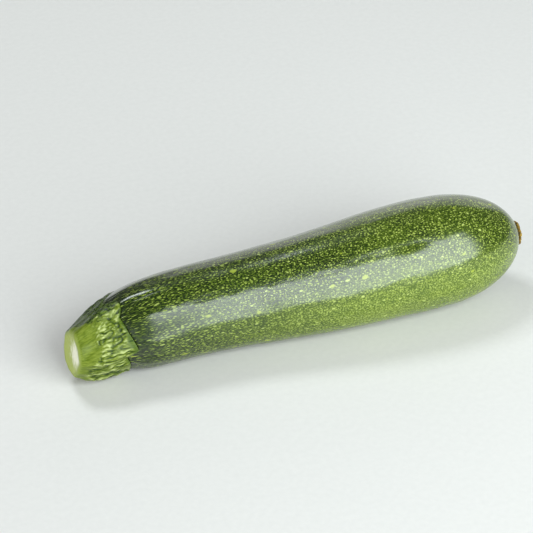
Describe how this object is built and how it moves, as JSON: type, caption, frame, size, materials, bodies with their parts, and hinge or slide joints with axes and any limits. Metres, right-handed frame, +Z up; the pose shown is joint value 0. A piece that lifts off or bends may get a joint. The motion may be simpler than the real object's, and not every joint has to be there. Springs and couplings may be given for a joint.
{
  "type": "courgette",
  "caption": "Whole courgette lying on its side: long green fruit thickening to a round blossom end, with a ridged, cut stub of stalk and a dry flower scar.",
  "frame": {"origin": "on the surface that the courgette lies on, under the middle of its bounding box", "axes": "+X along the fruit from the cut stalk to the blossom end, +Z up"},
  "size_m": [0.2036, 0.0482, 0.0478],
  "materials": {
    "skin": "waxy, semi-gloss, fine pale flecks on dark green",
    "stalk": "fibrous, satin, wrinkled near the seam",
    "scar": "dry, crusty, matt"
  },
  "bodies": {
    "root": {"fruit": "skin", "stalk": "stalk", "flower_scar": "scar"}
  },
  "joints": []
}
